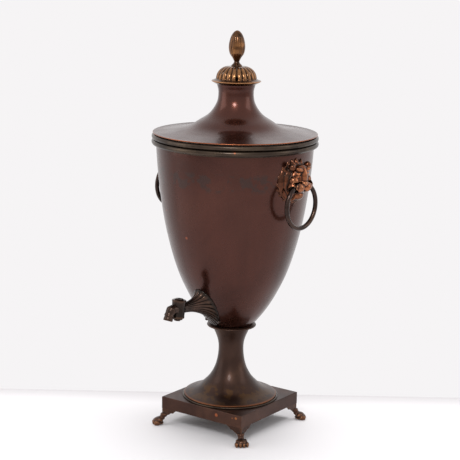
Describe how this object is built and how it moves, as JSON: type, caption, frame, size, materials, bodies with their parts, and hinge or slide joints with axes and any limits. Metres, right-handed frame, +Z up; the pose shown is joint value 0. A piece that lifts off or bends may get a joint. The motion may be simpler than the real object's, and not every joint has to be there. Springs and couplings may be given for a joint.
{
  "type": "samovar",
  "caption": "Vase-shaped tea urn on a square plinth with paw feet, with a lift-off lid, lion masks with swinging ring handles, a tap with a turning plug and an iron-slug heater inside.",
  "frame": {"origin": "centre of the four feet's resting plane, on the vase's axis", "axes": "+Z up along the vase's axis, -Y towards the tap, +X and -X through the lion masks"},
  "size_m": [0.2498, 0.2525, 0.54],
  "materials": {
    "copper_brown": "glossy dark brown patina on copper",
    "lid_brown": "glossy dark brown patina on copper",
    "stem_brown": "satin grey-brown patina on copper",
    "plinth_brown": "satin brown patina, worn at the edges",
    "mask_brass": "worn gilt brass with dark recesses",
    "paw_brass": "worn gilt brass with dark recesses",
    "dome_bronze": "golden-brown bronze with dark flutes",
    "bead_bronze": "grey-brown bronze",
    "ring_bronze": "dark bronze",
    "tap_bronze": "dark bronze, brassy where handled",
    "inner_brass": "plain satin brass",
    "tinned_copper": "dull tinned sheet",
    "slug_iron": "black scaled iron"
  },
  "bodies": {
    "urn": {"plinth": "plinth_brown", "paw_foot_front_left": "paw_brass", "paw_foot_front_right": "paw_brass", "paw_foot_back_right": "paw_brass", "paw_foot_back_left": "paw_brass", "pedestal": "stem_brown", "pedestal_flange": "bead_bronze", "stem_collar": "bead_bronze", "vase_stud": "inner_brass", "stud_washer": "inner_brass", "stud_nut": "inner_brass", "vase_body": "copper_brown", "rim_bead_upper": "bead_bronze", "rim_bead_lower": "bead_bronze", "heater_socket": "tinned_copper", "heater_tube": "tinned_copper", "lion_mask_right": "mask_brass", "lion_mask_left": "mask_brass", "mask_nuts_right": "inner_brass", "mask_nuts_left": "inner_brass", "tap_shank": "tap_bronze", "tap_rivets": "tap_bronze", "tap_barrel": "tap_bronze"},
    "lid": {"lid_cover": "lid_brown", "lid_bezel": "tinned_copper", "vent_dome": "dome_bronze", "finial": "dome_bronze", "finial_nut": "inner_brass"},
    "heater_cover": {"heater_cover": "inner_brass"},
    "slug": {"iron_slug": "slug_iron", "slug_eye": "slug_iron"},
    "ring_right": {"ring_handle_right": "ring_bronze"},
    "ring_left": {"ring_handle_left": "ring_bronze"},
    "cock_plug": {"tap_plug": "tap_bronze", "plug_washer": "tap_bronze", "plug_nut": "tap_bronze"}
  },
  "joints": [
    {"name": "lid_lift", "type": "slide", "parent": "urn", "child": "lid", "axis": [0, 0, 1], "range_m": [0, 0.45]},
    {"name": "cover_lift", "type": "slide", "parent": "urn", "child": "heater_cover", "axis": [0, 0, 1], "range_m": [0, 0.315]},
    {"name": "slug_lift", "type": "slide", "parent": "urn", "child": "slug", "axis": [0, 0, 1], "range_m": [0, 0.2565]},
    {"name": "ring_right_swing", "type": "hinge", "parent": "urn", "child": "ring_right", "pos_m": [0.1155, 0, 0.3444], "axis": [0, -1, 0], "range_deg": [-8, 85]},
    {"name": "ring_left_swing", "type": "hinge", "parent": "urn", "child": "ring_left", "pos_m": [-0.1155, 0, 0.3444], "axis": [0, 1, 0], "range_deg": [-8, 85]},
    {"name": "plug_turn", "type": "hinge", "parent": "urn", "child": "cock_plug", "pos_m": [0, -0.1066, 0.182], "axis": [0, 0.1219, 0.9925], "continuous": true}
  ],
  "couplings": [
    {"joint": "cover_lift", "follows": "lid_lift", "ratio": 0.7},
    {"joint": "slug_lift", "follows": "lid_lift", "ratio": 0.57}
  ]
}
